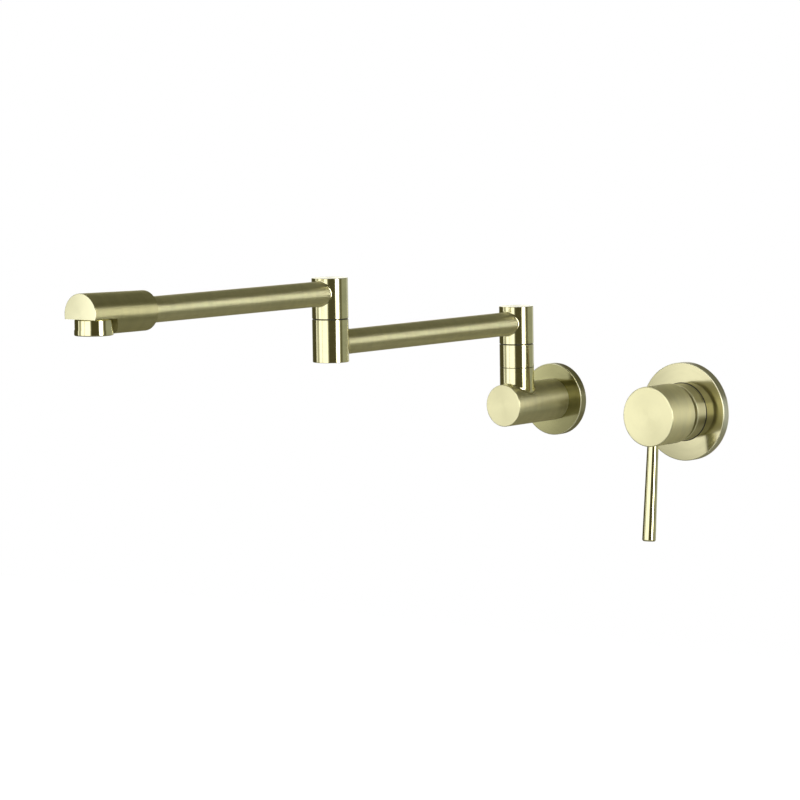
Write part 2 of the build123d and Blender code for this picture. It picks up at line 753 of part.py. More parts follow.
with BuildPart() as cartridge_rotor:
    with BuildSketch(mixer_plane(rotor_low)):
        Circle(rotor_flange_diameter / 2)
    extrude(amount=rotor_flange_thickness)
    with BuildSketch(mixer_plane(rotor_flange_high)):
        Circle(rotor_diameter / 2)
    extrude(amount=rotor_front - rotor_flange_high)
    with BuildSketch(mixer_plane(rotor_low)):
        Rectangle(rotor_slot_width, rotor_slot_height)
    extrude(amount=rotor_front - rotor_low, mode=Mode.SUBTRACT)
    with BuildSketch(pivot):
        Circle(pivot_pin_diameter / 2 + slip)
    extrude(amount=rotor_diameter, both=True, mode=Mode.SUBTRACT)

with BuildPart() as pivot_pin:
    with BuildSketch(pivot):
        Circle(pivot_pin_diameter / 2)
    extrude(amount=pivot_pin_length / 2, both=True)

cartridge_nut = turned(mixer_axis, [
    (neck_thread_diameter / 2 + slip, nut_back),
    (nut_diameter / 2, nut_back),
    (nut_diameter / 2, nut_front - nut_edge),
    (nut_diameter / 2 - nut_edge, nut_front),
    (housing_neck_diameter / 2 + slip, nut_front),
    (housing_neck_diameter / 2 + slip, housing_shoulder + gap),
    (cartridge_radius + slip, housing_shoulder + gap),
    (cartridge_radius + slip, valve_neck_front + gap),
    (neck_thread_diameter / 2 + slip, valve_neck_front + gap),
])

with BuildPart() as cartridge_stem:
    with BuildSketch(mixer_plane(pivot_distance)):
        Rectangle(stem_size, stem_size)
    extrude(amount=stem_front - pivot_distance)
    with BuildSketch(pivot):
        Circle(stem_eye_diameter / 2)
    extrude(amount=stem_size / 2, both=True)
    with BuildSketch(mixer_axis):
        with BuildLine():
            Polyline(
                (0, ball_distance),
                (stem_tip_diameter / 2, ball_distance),
                (stem_root_diameter / 2, pivot_distance),
                (0, pivot_distance),
                close=True,
            )
        make_face()
    revolve(axis=Axis(mixer_axis.origin, mixer_axis.y_dir))
    with Locations((mixer_x, -ball_distance, mixer_z)):
        Sphere(ball_diameter / 2)
    with BuildSketch(pivot):
        Circle(pivot_pin_diameter / 2 + running)
    extrude(amount=stem_size, both=True, mode=Mode.SUBTRACT)

# ---------------------------------------------------------------- mixer: handle
handle_radius = handle_diameter / 2
handle_bore = handle_radius - handle_wall
handle_blank = turned(mixer_axis, [
    (0, handle_front),
    (handle_radius, handle_front),
    (handle_radius, handle_back),
    (handle_bore, handle_back),
    (handle_bore, handle_floor),
    (boss_diameter / 2, handle_floor),
    (boss_diameter / 2, boss_back),
    (0, boss_back),
], rounded=[((handle_radius, handle_front), handle_round), ((handle_radius, handle_back), handle_edge)])
with BuildPart() as handle_cap:
    add(handle_blank.part)
    with BuildSketch(mixer_plane(boss_back)):
        Rectangle(stem_size + 2 * slip, stem_size + 2 * slip)
    extrude(amount=stem_front + slip - boss_back, mode=Mode.SUBTRACT)
    with BuildSketch(Plane(origin=lever_axis.origin, x_dir=(1, 0, 0), z_dir=lever_axis.y_dir)):
        Circle(lever_stud_diameter / 2 + slip)
    extrude(amount=handle_diameter, mode=Mode.SUBTRACT)
    with BuildSketch(Plane(origin=lever_axis.origin + lever_axis.y_dir * lever_seat,
                           x_dir=(1, 0, 0), z_dir=lever_axis.y_dir)):
        Circle(lever_root_diameter / 2 + slip)
    extrude(amount=handle_diameter, mode=Mode.SUBTRACT)

with BuildPart() as lever_rod:
    with BuildSketch(lever_axis):
        with BuildLine():
            Polyline(
                (0, lever_stud_end),
                (lever_stud_diameter / 2, lever_stud_end),
                (lever_stud_diameter / 2, lever_seat),
                (lever_root_diameter / 2, lever_seat),
                (lever_root_diameter / 2, handle_radius),
                (lever_tip_diameter / 2, lever_reach),
                (0, lever_reach),
                close=True,
            )
        make_face()
    revolve(axis=Axis(lever_axis.origin, lever_axis.y_dir))
    fillet(lever_rod.edges().filter_by(GeomType.CIRCLE).sort_by(Axis.Z)[0], lever_round)

grub_start = (stem_size / 2 + slip + lever_stud_diameter / 2 * sin(lean)) / cos(lean)
with BuildPart() as handle_grub_screw:
    with BuildSketch(Plane(origin=lever_axis.origin + lever_axis.y_dir * grub_start,
                           x_dir=(1, 0, 0), z_dir=lever_axis.y_dir)):
        Circle(lever_stud_diameter / 2 - slip)
    extrude(amount=grub_length)
    with BuildSketch(Plane(origin=lever_axis.origin + lever_axis.y_dir * (grub_start + grub_length),
                           x_dir=(1, 0, 0), z_dir=lever_axis.y_dir)):
        RegularPolygon(grub_key / 2, 6, major_radius=False)
    extrude(amount=-grub_key_depth, mode=Mode.SUBTRACT)

# ---------------------------------------------------------------- one file per piece
pieces = {
    "spout_body": spout_body,
    "wall_flange": wall_flange,
    "flange_seal": flange_seal,
    "flange_o_ring": flange_o_ring,
    "inlet_strainer": inlet_strainer,
    "swivel_collar": swivel_collar,
    "base_spindle": base_spindle,
    "base_o_rings": base_o_rings,
    "base_bearing_washer": base_bearing_washer,
    "base_thrust_washer": base_thrust_washer,
    "base_clip": base_clip,
    "base_housing": base_housing,
    "base_cap": base_cap,
    "arm_1_tube": arm_1_tube,
    "elbow_lower_housing": elbow_lower_housing,
    "elbow_spindle": elbow_spindle,
    "elbow_o_rings": elbow_o_rings,
    "elbow_bearing_washer": elbow_bearing_washer,
    "elbow_thrust_washer": elbow_thrust_washer,
    "elbow_clip": elbow_clip,
    "elbow_upper_housing": elbow_upper_housing,
    "elbow_cap": elbow_cap,
    "arm_2_tube": arm_2_tube,
    "spout_head": spout_head,
    "aerator_housing": aerator_housing,
    "aerator_gasket": aerator_gasket,
    "aerator_insert": aerator_insert,
    "aerator_screen": aerator_screen,
    "cover_plate": cover_plate,
    "plate_seal": plate_seal,
    "plate_o_ring": plate_o_ring,
    "mixer_sleeve": mixer_sleeve,
    "valve_body": valve_body,
    "way_seals": way_seals,
    "cartridge_base": cartridge_base,
    "fixed_disc": fixed_disc,
    "sliding_disc": sliding_disc,
    "disc_carrier": disc_carrier,
    "cartridge_housing": cartridge_housing,
    "cartridge_rotor": cartridge_rotor,
    "pivot_pin": pivot_pin,
    "cartridge_nut": cartridge_nut,
    "cartridge_stem": cartridge_stem,
    "handle_cap": handle_cap,
    "lever_rod": lever_rod,
    "handle_grub_screw": handle_grub_screw,
}
os.makedirs("parts", exist_ok=True)
for label, piece in pieces.items():
    piece.part.label = label
    export_step(piece.part, f"parts/{label}.step")
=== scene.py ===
from math import cos, pi, radians, sin

import bmesh
import bpy
from mathutils import Matrix, Vector


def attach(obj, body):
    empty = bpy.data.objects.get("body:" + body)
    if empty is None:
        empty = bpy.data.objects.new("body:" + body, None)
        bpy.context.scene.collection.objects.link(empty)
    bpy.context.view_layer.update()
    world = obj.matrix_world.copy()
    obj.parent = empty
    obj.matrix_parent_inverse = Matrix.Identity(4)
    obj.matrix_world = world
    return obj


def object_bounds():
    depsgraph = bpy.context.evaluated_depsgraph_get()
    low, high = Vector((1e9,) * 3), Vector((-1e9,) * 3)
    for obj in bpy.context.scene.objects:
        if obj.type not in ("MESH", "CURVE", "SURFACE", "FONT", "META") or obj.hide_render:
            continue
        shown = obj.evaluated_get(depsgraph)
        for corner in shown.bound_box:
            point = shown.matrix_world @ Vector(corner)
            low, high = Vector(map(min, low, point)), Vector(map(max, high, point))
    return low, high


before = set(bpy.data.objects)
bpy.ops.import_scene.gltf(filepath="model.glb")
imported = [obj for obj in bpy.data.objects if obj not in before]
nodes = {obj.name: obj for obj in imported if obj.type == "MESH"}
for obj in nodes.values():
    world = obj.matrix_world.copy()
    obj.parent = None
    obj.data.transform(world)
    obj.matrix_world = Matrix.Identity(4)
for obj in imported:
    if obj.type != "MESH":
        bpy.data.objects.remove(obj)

cad_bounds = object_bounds()

# ---------------------------------------------------------------- places, in metres
X, Y, Z = (1, 0, 0), (0, 1, 0), (0, 0, 1)
ORIGIN = (0, 0, 0)                  # centre of the wall flange, on the wall
BASE = (0, -0.0554, 0)              # the base post stands on this axis
ELBOW = (0, -0.2939, 0)             # and the elbow post on this one
ARM_1 = (0, 0, 0.0668)              # the arms lie on these axes, along Y
ARM_2 = (0, 0, 0.1056)
AERATOR = (0, -0.5579, 0)
MIXER = (0.131, 0, -0.0041)         # the mixer's axis, along Y
PORTS = (0.131, 0.024, -0.0041)     # where the axes of the valve body's ports meet
LEVER = (0.131, -0.0477, -0.0041)   # where the leaning lever's axis leaves the mixer's
LEAN = radians(5)
LEVER_AXIS = (0, -sin(LEAN), -cos(LEAN))
ARM_R, POST_R, BODY_R = 0.00965, 0.014, 0.01715
FLOOR_Z = -0.2

# ---------------------------------------------------------------- node helpers
def add(tree, kind, sockets=None, **props):
    """Adds a node, sets its properties and fills its sockets with values or links."""
    n = tree.nodes.new(kind)
    for key, value in props.items():
        setattr(n, key, value)
    for key, value in (sockets or {}).items():
        if isinstance(value, bpy.types.NodeSocket):
            tree.links.new(value, n.inputs[key])
        else:
            n.inputs[key].default_value = value
    return n


def calc(tree, operation, a, b=0.0, c=0.0):
    return add(tree, "ShaderNodeMath", {0: a, 1: b, 2: c}, operation=operation).outputs[0]


def vector(tree, operation, a, b=(0, 0, 0), out=0):
    """Vector maths on a and b. For SCALE, b is the factor. Output 1 is a single value."""
    second = "Scale" if operation == "SCALE" else 1
    return add(tree, "ShaderNodeVectorMath", {0: a, second: b}, operation=operation).outputs[out]


def noise(tree, at, scale, detail, w=None, roughness=0.5):
    """Noise from 0 to 1 at a place. With w, it also changes with that value."""
    sockets = {"Vector": at, "Scale": scale, "Detail": detail, "Roughness": roughness}
    if w is None:
        return add(tree, "ShaderNodeTexNoise", sockets).outputs[0]
    sockets["W"] = w
    return add(tree, "ShaderNodeTexNoise", sockets, noise_dimensions="4D").outputs[0]


def remap(tree, value, lo, hi, to_lo=0.0, to_hi=1.0):
    return add(tree, "ShaderNodeMapRange",
               {"Value": value, "From Min": lo, "From Max": hi, "To Min": to_lo,
                "To Max": to_hi}, interpolation_type="SMOOTHSTEP").outputs[0]


def mix_color(tree, factor, a, b):
    return add(tree, "ShaderNodeMix", {0: factor, 6: a, 7: b}, data_type="RGBA").outputs[2]


def rgba(color):
    return (*color, 1.0)


def toned(tree, share, color, tone):
    """The colour, from darker to paler by the tone as the share goes from 0 to 1."""
    darker = tuple(c * (1 - tone) for c in color)
    paler = tuple(min(1, c * (1 + tone)) for c in color)
    return mix_color(tree, share, rgba(darker), rgba(paler))


def relief(tree, strength, distance, height, normal=None):
    """A bump from a height, on top of another bump's normal where there is one."""
    sockets = {"Strength": strength, "Distance": distance, "Height": height}
    if normal is not None:
        sockets["Normal"] = normal
    return add(tree, "ShaderNodeBump", sockets).outputs[0]


def material(name):
    m = bpy.data.materials.new(name)
    m.use_nodes = True
    return m, m.node_tree, m.node_tree.nodes["Principled BSDF"]


# ---------------------------------------------------------------- kinds of material
LINE_CHANGE = 2.5       # how much a brushed line changes on its way round
BAND_CHANGE = 1.2       # the same for the broad bands
BAND_SHARE = 0.08       # bands for each line
SMUDGE_SCALE = 38.0
MEAN_NOISE = 1.25       # mean of lines, bands and half the smudges, in streaks
LINE_DEPTH = 0.00004
THREAD_DEPTH = 1.1      # in pitches
CAST_DEPTH = 0.0001
CAST_PATCHES = 0.06     # patches of tone for each grain


def turned_metal(name, centre, axis, color, rough, aniso, grain=2200.0, depth=0.12,
                 streak=0.06, tone=0.04, pitch=0.0):
    """Metal brushed or turned round an axis: fine lines run round it, and highlights
    stretch across them. A pitch in metres gives it a screw thread."""
    m, tree, shader = material(name)
    shader.inputs["Metallic"].default_value = 1.0
    shader.inputs["Anisotropic"].default_value = aniso
    shader.inputs["Anisotropic Rotation"].default_value = 0.25
    place = add(tree, "ShaderNodeTexCoord").outputs["Object"]
    from_centre = vector(tree, "SUBTRACT", place, centre)
    along = vector(tree, "DOT_PRODUCT", from_centre, axis, out=1)
    on_axis = vector(tree, "SCALE", axis, along)
    outward = vector(tree, "SUBTRACT", from_centre, on_axis)
    radius = vector(tree, "LENGTH", outward, out=1)
    unit = vector(tree, "NORMALIZE", outward)
    tangent = vector(tree, "CROSS_PRODUCT", axis, unit)
    tangent = add(tree, "ShaderNodeVectorTransform", {0: tangent}, vector_type="VECTOR",
                  convert_from="OBJECT", convert_to="WORLD").outputs[0]
    tree.links.new(tangent, shader.inputs["Tangent"])

    def ringed(change, spacing):
        """A place whose noise runs in rings round the axis, and the radius to go with it."""
        rise = vector(tree, "SCALE", axis, calc(tree, "MULTIPLY", along, spacing))
        at = vector(tree, "ADD", vector(tree, "SCALE", unit, change), rise)
        return at, calc(tree, "MULTIPLY", radius, spacing)

    at, across = ringed(LINE_CHANGE, grain)
    lines = noise(tree, at, 1.0, 3.0, w=across, roughness=0.6)
    at, across = ringed(BAND_CHANGE, grain * BAND_SHARE)
    bands = noise(tree, at, 1.0, 2.0, w=across)
    smudges = noise(tree, place, SMUDGE_SCALE, 3.0)
    uneven = calc(tree, "ADD", calc(tree, "MULTIPLY", lines, streak),
                  calc(tree, "MULTIPLY", bands, streak))
    uneven = calc(tree, "ADD", uneven, calc(tree, "MULTIPLY", smudges, streak * 0.5))
    tree.links.new(calc(tree, "ADD", uneven, rough - streak * MEAN_NOISE),
                   shader.inputs["Roughness"])
    tree.links.new(toned(tree, remap(tree, bands, 0.3, 0.7), color, tone),
                   shader.inputs["Base Color"])
    bump = relief(tree, depth, LINE_DEPTH, lines)
    if pitch:
        side = (axis[1], axis[2], axis[0])
        third = (axis[2], axis[0], axis[1])
        angle = calc(tree, "ARCTAN2", vector(tree, "DOT_PRODUCT", unit, side, out=1),
                     vector(tree, "DOT_PRODUCT", unit, third, out=1))
        turns = calc(tree, "ADD", calc(tree, "MULTIPLY", along, 1 / pitch),
                     calc(tree, "MULTIPLY", angle, 0.5 / pi))
        ridge = calc(tree, "PINGPONG", turns, 0.5)
        bump = relief(tree, 1.0, pitch * THREAD_DEPTH, ridge, normal=bump)
    tree.links.new(bump, shader.inputs["Normal"])
    return m


def plain(name, color, rough, scale, depth, tone=0.06, metallic=0.0, cells=False, ior=1.5):
    """Moulded or cast material: a grain of its own scale in colour, gloss and relief."""
    m, tree, shader = material(name)
    shader.inputs["Metallic"].default_value = metallic
    shader.inputs["IOR"].default_value = ior
    place = add(tree, "ShaderNodeTexCoord").outputs["Object"]
    fine = noise(tree, place, scale, 4.0)
    patches = noise(tree, place, scale * CAST_PATCHES, 2.0)
    height = fine
    if cells:
        height = add(tree, "ShaderNodeTexVoronoi", {"Vector": place, "Scale": scale},
                     feature="F1").outputs["Distance"]
    tree.links.new(toned(tree, remap(tree, patches, 0.35, 0.65), color, tone),
                   shader.inputs["Base Color"])
    tree.links.new(remap(tree, fine, 0.3, 0.7, rough - 0.05, rough + 0.05),
                   shader.inputs["Roughness"])
    tree.links.new(relief(tree, depth, CAST_DEPTH, height), shader.inputs["Normal"])
    return m


# ---------------------------------------------------------------- giving pieces their material
def put(mat, *names):
    for n in names:
        mesh = nodes[n].data
        mesh.materials.clear()
        mesh.materials.append(mat)


def put_where(mat, name, chosen):
    """Gives the faces that are chosen by their centre and normal a material of their own."""
    mesh = nodes[name].data
    mesh.materials.append(mat)
    index = len(mesh.materials) - 1
    for face in mesh.polygons:
        if chosen(face.center, face.normal):
            face.material_index = index


def off_axis(point, centre, axis):
    """Distance of a point from a line."""
    away = point - Vector(centre)
    return (away - Vector(axis) * away.dot(Vector(axis))).length


# Colours. The two covers are nearly mirrors; their gold is painted darker, as painted shade on
# their fronts.
GOLD = (0.80, 0.76, 0.47)
# Painted light: the body's front face in a paler gold.
BODY_FACE_LIT_GOLD = (0.84, 0.80, 0.50)
# Painted highlight on the covers' rounded front edges.
EDGE_HIGHLIGHT_GOLD = (0.98, 0.95, 0.68)
FLANGE_SHADED_GOLD = (0.355, 0.34, 0.17)
# Painted shade on the wall cover's rim side.
FLANGE_SIDE_SHADE = (0.52, 0.49, 0.29)
PLATE_SHADED_GOLD = (0.555, 0.526, 0.325)
# Painted light on the mixer cover's rim side.
PLATE_SIDE_LIGHT = (0.95, 0.93, 0.76)
# Painted highlight on the sleeve's front edge.
SLEEVE_EDGE_HIGHLIGHT = (0.92, 0.89, 0.60)
# Painted light: the handle's side and front in a paler gold.
HANDLE_LIT_GOLD = (0.88, 0.84, 0.53)
HANDLE_FACE_LIT = (0.875, 0.835, 0.52)
# Painted shade on the head's sides, and painted light on its front face.
HEAD_SHADED_GOLD = (0.63, 0.595, 0.325)
HEAD_FACE_LIT = (0.90, 0.87, 0.58)
# Painted shade on the chamfers at the joints between the posts' parts.
JOINT_SHADE_GOLD = (0.24, 0.23, 0.14)
NUT_GOLD = (0.50, 0.46, 0.27)
RAW = (0.72, 0.56, 0.30)
STEEL = (0.56, 0.55, 0.53)

FINE_FACE = dict(depth=0.04, streak=0.015, tone=0.015)
FRONT = -0.3            # n.y of a face that looks out from the wall is under this
SIDE = 0.3              # a side keeps its normal's part along its axis under this
POST_EDGE_R = 0.0141    # just outside the posts
HALF_INCH_PITCH = 0.001814
NECK_PITCH = 0.0015

# The covers at the wall: front and wall-cover side in painted shade, edge as a painted
# highlight, mixer-cover side in painted light
put(turned_metal("gold_wall_cover", ORIGIN, Y, FLANGE_SHADED_GOLD, 0.12, 0.6, streak=0.03),
    "wall_flange")
put(turned_metal("gold_mixer_cover", MIXER, Y, PLATE_SHADED_GOLD, 0.12, 0.6, streak=0.03),
    "cover_plate")
FLAT_EDGE, STEEP_EDGE = 0.03, 0.97      # |n.y| of the edge between side and front
for name, centre, inside, side in (("wall_flange", ORIGIN, 0.0285, FLANGE_SIDE_SHADE),
                                   ("cover_plate", MIXER, 0.0385, PLATE_SIDE_LIGHT)):
    put_where(turned_metal(name + "_edge_highlight", centre, Y, EDGE_HIGHLIGHT_GOLD, 0.30, 0.75), name,
              lambda c, n: FLAT_EDGE < abs(n.y) < STEEP_EDGE
              and off_axis(c, centre, Y) > inside)
    put_where(turned_metal(name + "_rim", centre, Y, side, 0.30, 0.7), name,
              lambda c, n: abs(n.y) <= FLAT_EDGE and off_axis(c, centre, Y) > inside)

# The mixer's sleeve, handle and lever
SLEEVE_EDGE_R = 0.0215
CAP_FRONT_Y = -0.055
put(turned_metal("gold_sleeve", MIXER, Y, GOLD, 0.33, 0.95), "mixer_sleeve")
# The sleeve's front edge in a pale gold: a painted highlight.
put_where(turned_metal("gold_sleeve_edge_highlight", MIXER, Y, SLEEVE_EDGE_HIGHLIGHT, 0.6, 0.0), "mixer_sleeve",
          lambda c, n: -STEEP_EDGE < n.y < -0.1 and off_axis(c, MIXER, Y) > SLEEVE_EDGE_R)
# The handle's gold is paler than the rest: painted light on its side and front.
put(turned_metal("gold_handle", MIXER, Y, HANDLE_LIT_GOLD, 0.60, 0.4), "handle_cap")
put_where(turned_metal("gold_handle_face", MIXER, Y, HANDLE_FACE_LIT, 0.30, 0.4, **FINE_FACE),
          "handle_cap", lambda c, n: n.y < FRONT and c.y < CAP_FRONT_Y)
put(turned_metal("gold_lever", LEVER, LEVER_AXIS, GOLD, 0.12, 0.5, depth=0.0, streak=0.0),
    "lever_rod")

# The spout's body with its front, riser and threaded inlet
BODY_FRONT_Y = -0.073
RISER_LOW_Z, RISER_TOP_Z, RISER_BACK_Y = 0.0098, 0.018, -0.04
INLET_THREAD_R = 0.0098
put(turned_metal("gold_body", ORIGIN, Y, GOLD, 0.42, 0.72), "spout_body")
# The body's front face in a paler gold: painted light.
put_where(turned_metal("gold_body_face", ORIGIN, Y, BODY_FACE_LIT_GOLD, 0.30, 0.4, **FINE_FACE),
          "spout_body", lambda c, n: n.y < FRONT and c.y < BODY_FRONT_Y)
base_gold = turned_metal("gold_base_post", BASE, Z, GOLD, 0.15, 0.8)
elbow_gold = turned_metal("gold_elbow_post", ELBOW, Z, GOLD, 0.15, 0.8)
put_where(base_gold, "spout_body",
          lambda c, n: c.z > RISER_LOW_Z and off_axis(c, BASE, Z) < POST_EDGE_R
          and c.y < RISER_BACK_Y and (abs(n.z) < 0.1 or c.z > RISER_TOP_Z))
put_where(turned_metal("inlet_thread", ORIGIN, Y, GOLD, 0.26, 0.5, pitch=HALF_INCH_PITCH),
          "spout_body", lambda c, n: c.y > 0 and abs(n.y) < SIDE
          and off_axis(c, ORIGIN, Y) > INLET_THREAD_R)

# The posts, with dark lines on the small chamfers between what turns and what stands: painted
# shade of the gaps at the joints
put(base_gold, "swivel_collar", "base_housing", "base_cap")
put(elbow_gold, "elbow_lower_housing", "elbow_upper_housing", "elbow_cap")
CHAMFER_R = 0.0134
for name, centre, low, high in (
    ("spout_body", BASE, 0.030, 0.031), ("swivel_collar", BASE, 0.030, 0.050),
    ("base_housing", BASE, 0.0495, 0.0505), ("elbow_lower_housing", ELBOW, 0.085, 0.086),
    ("elbow_upper_housing", ELBOW, 0.0855, 0.0866),
):
    line = turned_metal("joint_shade_line_" + name, centre, Z, JOINT_SHADE_GOLD, 0.5, 0.3)
    put_where(line, name, lambda c, n: low < c.z < high and 0.3 < abs(n.z) < 0.95
              and CHAMFER_R < off_axis(c, centre, Z) < POST_EDGE_R)

# The arms, the head and the aerator
HEAD_FRONT_Y = -0.5708
put(turned_metal("gold_arm_1", ARM_1, Y, GOLD, 0.40, 0.86), "arm_1_tube")
put(turned_metal("gold_arm_2", ARM_2, Y, GOLD, 0.40, 0.86), "arm_2_tube")
# The head in a darker gold (painted shade), its front face in a paler one (painted light).
put(turned_metal("gold_head", ARM_2, Y, HEAD_SHADED_GOLD, 0.40, 0.95), "spout_head")
put_where(turned_metal("gold_head_face", ARM_2, Y, HEAD_FACE_LIT, 0.26, 0.4, **FINE_FACE),
          "spout_head", lambda c, n: n.y < FRONT and c.y < HEAD_FRONT_Y)
put(turned_metal("polished_aerator", AERATOR, Z, GOLD, 0.05, 0.2, depth=0.02, streak=0.01),
    "aerator_housing")

# Turned and cast brass inside
put(turned_metal("turned_base_spindle", BASE, Z, RAW, 0.3, 0.6, grain=1500.0), "base_spindle")
put(turned_metal("turned_elbow_spindle", ELBOW, Z, RAW, 0.3, 0.6, grain=1500.0),
    "elbow_spindle")
put(turned_metal("turned_nut", MIXER, Y, NUT_GOLD, 0.3, 0.6, grain=1500.0), "cartridge_nut")
put(plain("cast_brass", RAW, 0.42, 900.0, 0.35, metallic=1.0, tone=0.10), "valve_body")
PORT_THREAD_R = 0.0094                          # the threads lie inside this
SIDE_PORT_X, TOP_PORT_Z = 0.0229, 0.0189        # and beyond these
NECK_Y, NECK_THREAD_R = -0.004, 0.0186
put_where(turned_metal("side_port_thread", PORTS, X, RAW, 0.3, 0.5, pitch=HALF_INCH_PITCH),
          "valve_body", lambda c, n: abs(c.x - PORTS[0]) > SIDE_PORT_X and abs(n.x) < SIDE
          and off_axis(c, PORTS, X) < PORT_THREAD_R)
put_where(turned_metal("top_port_thread", PORTS, Z, RAW, 0.3, 0.5, pitch=HALF_INCH_PITCH),
          "valve_body", lambda c, n: c.z > TOP_PORT_Z and abs(n.z) < SIDE
          and off_axis(c, PORTS, Z) < PORT_THREAD_R)
put_where(turned_metal("neck_thread", MIXER, Y, RAW, 0.3, 0.5, pitch=NECK_PITCH),
          "valve_body", lambda c, n: c.y < NECK_Y and abs(n.y) < SIDE
          and off_axis(c, MIXER, Y) > NECK_THREAD_R)

# Rubber, foam, plastics and ceramic
put(plain("black_rubber", (0.025, 0.025, 0.025), 0.55, 1500.0, 0.15), "flange_o_ring",
    "base_o_rings", "elbow_o_rings", "plate_o_ring", "aerator_gasket", "way_seals")
put(plain("grey_foam", (0.22, 0.22, 0.22), 0.85, 1600.0, 0.6, cells=True), "flange_seal",
    "plate_seal")
put(plain("white_acetal", (0.82, 0.82, 0.79), 0.42, 700.0, 0.08, tone=0.02),
    "aerator_insert", "inlet_strainer")
put(plain("dark_plastic", (0.05, 0.05, 0.045), 0.5, 700.0, 0.10), "base_bearing_washer",
    "elbow_bearing_washer", "cartridge_base", "disc_carrier")
put(plain("cartridge_plastic", (0.55, 0.56, 0.55), 0.45, 700.0, 0.10, tone=0.03),
    "cartridge_housing", "cartridge_rotor")
put(plain("ceramic", (0.86, 0.84, 0.78), 0.18, 1200.0, 0.03, tone=0.02, ior=1.75),
    "fixed_disc", "sliding_disc")

# Steel
put(turned_metal("steel_base_trim", BASE, Z, STEEL, 0.3, 0.4), "base_thrust_washer",
    "base_clip")
put(turned_metal("steel_elbow_trim", ELBOW, Z, STEEL, 0.3, 0.4), "elbow_thrust_washer",
    "elbow_clip")
put(turned_metal("steel_cartridge_trim", MIXER, Y, STEEL, 0.3, 0.4), "pivot_pin",
    "cartridge_stem", "handle_grub_screw")
put(turned_metal("steel_screen", AERATOR, Z, STEEL, 0.3, 0.2), "aerator_screen")

# ---------------------------------------------------------------- shading normals
MICRONS = 1e6           # vertices that share a place to the micron count as one
SAME_PLANE = 0.99997
FLAT_FRONT = -0.99      # n.y of a front that may be dished is under this


def smooth(mesh, limit=34.0, dish=None):
    """Shades across facets that meet at less than the limit, larger facets counting more.
    A dish, as (centre, bend across, bend above, bend below), curves a front that faces
    -Y slightly. Bends are in radians for each metre from the centre."""
    bend = cos(radians(limit))
    normals = [face.normal.copy() for face in mesh.polygons]
    areas = [face.area for face in mesh.polygons]
    spots = [tuple(round(c * MICRONS) for c in v.co) for v in mesh.vertices]
    around = {}
    for i, face in enumerate(mesh.polygons):
        for v in face.vertices:
            around.setdefault(spots[v], []).append(i)
    planes = {}
    for spot, faces in around.items():
        groups = []
        for i in faces:
            for group in groups:
                if group[0].dot(normals[i]) > SAME_PLANE:
                    group[1] = max(group[1], areas[i])
                    break
            else:
                groups.append([normals[i], areas[i]])
        planes[spot] = groups
    split = []
    for i, face in enumerate(mesh.polygons):
        face.use_smooth = True
        for v in face.vertices:
            total = Vector((0, 0, 0))
            for normal, area in planes[spots[v]]:
                if normal.dot(normals[i]) > bend:
                    total += normal * area
            facing = total.normalized() if total.length > 0 else normals[i]
            if dish and facing.y < FLAT_FRONT:
                out = mesh.vertices[v].co - Vector(dish[0])
                upright = out.z * dish[2 if out.z > 0 else 3]
                facing = (facing + Vector((out.x * dish[1], 0, upright))).normalized()
            split.append(facing)
    mesh.normals_split_custom_set(split)


DISHED = {"wall_flange": (ORIGIN, -1.0, 2.4, 2.4),
          "cover_plate": (MIXER, 0.5, 0.6, 2.7),
          "handle_cap": (MIXER, -0.5, 0.0, 2.6),
          "spout_head": ((-0.03, 0, 0.1), 2.0, 0.0, 0.0)}
for name, o in nodes.items():
    smooth(o.data, dish=DISHED.get(name))

# ---------------------------------------------------------------- small forms of the scene
def closed_ring(name, mat, points, ring):
    """A piece made of points in equal rings, each ring joined to the next and the last
    to the first."""
    steps = len(points) // ring
    faces = []
    for i in range(steps):
        j = (i + 1) % steps
        for k in range(ring):
            m = (k + 1) % ring
            faces.append((i * ring + k, j * ring + k, j * ring + m, i * ring + m))
    mesh = bpy.data.meshes.new(name)
    mesh.from_pydata(points, [], faces)
    shape = bmesh.new()
    shape.from_mesh(mesh)
    bmesh.ops.recalc_face_normals(shape, faces=shape.faces)
    shape.to_mesh(mesh)
    shape.free()
    mesh.materials.append(mat)
    o = bpy.data.objects.new(name, mesh)
    bpy.context.scene.collection.objects.link(o)
    smooth(mesh, limit=40.0)
    return o


ROOTED = 0.3            # how far a fillet reaches into the metal, in its own sizes


def saddle(name, mat, body, small, out, along, big, centre, size, steps=160, rounds=7):
    """Closed ring that rounds the corner where a cylinder of radius small, running out from
    a cylinder of radius big along its axis "along", leaves its surface."""
    out, along, centre = Vector(out), Vector(along), Vector(centre)
    side = out.cross(along)
    points = []
    for i in range(steps):
        t = 2 * pi * i / steps
        across = small * sin(t)
        high = (big * big - across * across) ** 0.5
        corner = along * (small * cos(t)) + side * across + out * high
        from_small = along * cos(t) + side * sin(t)
        from_big = (side * across + out * high) / big
        away = (from_small - from_big * from_small.dot(from_big)).normalized()
        first = corner + out * size
        last = corner + away * size
        flat = last - along * last.dot(along)
        last = along * last.dot(along) + flat.normalized() * big
        for k in range(rounds + 1):
            u = k / rounds
            points.append(centre + first * (1 - u) ** 2 + corner * (2 * u * (1 - u))
                          + last * u * u)
        points.append(centre + corner - (from_small + from_big) * (ROOTED * size))
    o = closed_ring(name, mat, points, rounds + 2)
    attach(o, body)


